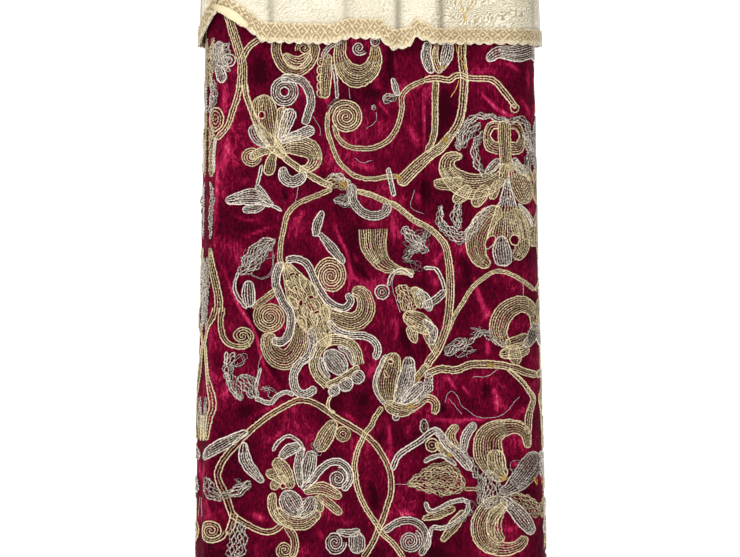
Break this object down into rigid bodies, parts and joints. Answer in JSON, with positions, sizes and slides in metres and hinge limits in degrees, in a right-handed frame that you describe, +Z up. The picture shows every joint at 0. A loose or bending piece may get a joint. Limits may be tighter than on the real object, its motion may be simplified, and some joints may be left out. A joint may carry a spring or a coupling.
{
  "type": "torah mantle",
  "caption": "Fitted hollow velvet cover with a stiff top, stave holes, a short brocade cape and a braid along the cape's hem; couched scrolling embroidery on the velvet.",
  "frame": {"origin": "middle of the stiff top's underside, where the cover rests on what it covers", "axes": "+Z up, the front faces -Y, +X to the viewer's right"},
  "size_m": [0.361, 0.2133, 0.8912],
  "materials": {
    "top_cover": "ivory brocade stretched over a stiff board",
    "velvet_left": "crimson silk velvet with couched metal-thread embroidery",
    "velvet_right": "crimson silk velvet with couched metal-thread embroidery",
    "brocade": "ivory silk brocade with fine metal-thread figures",
    "galloon": "woven metal-thread braid"
  },
  "bodies": {
    "root": {"top": "top_cover", "skirt_left": "velvet_left", "skirt_right": "velvet_right", "cape": "brocade", "cape_galloon": "galloon"}
  },
  "joints": []
}
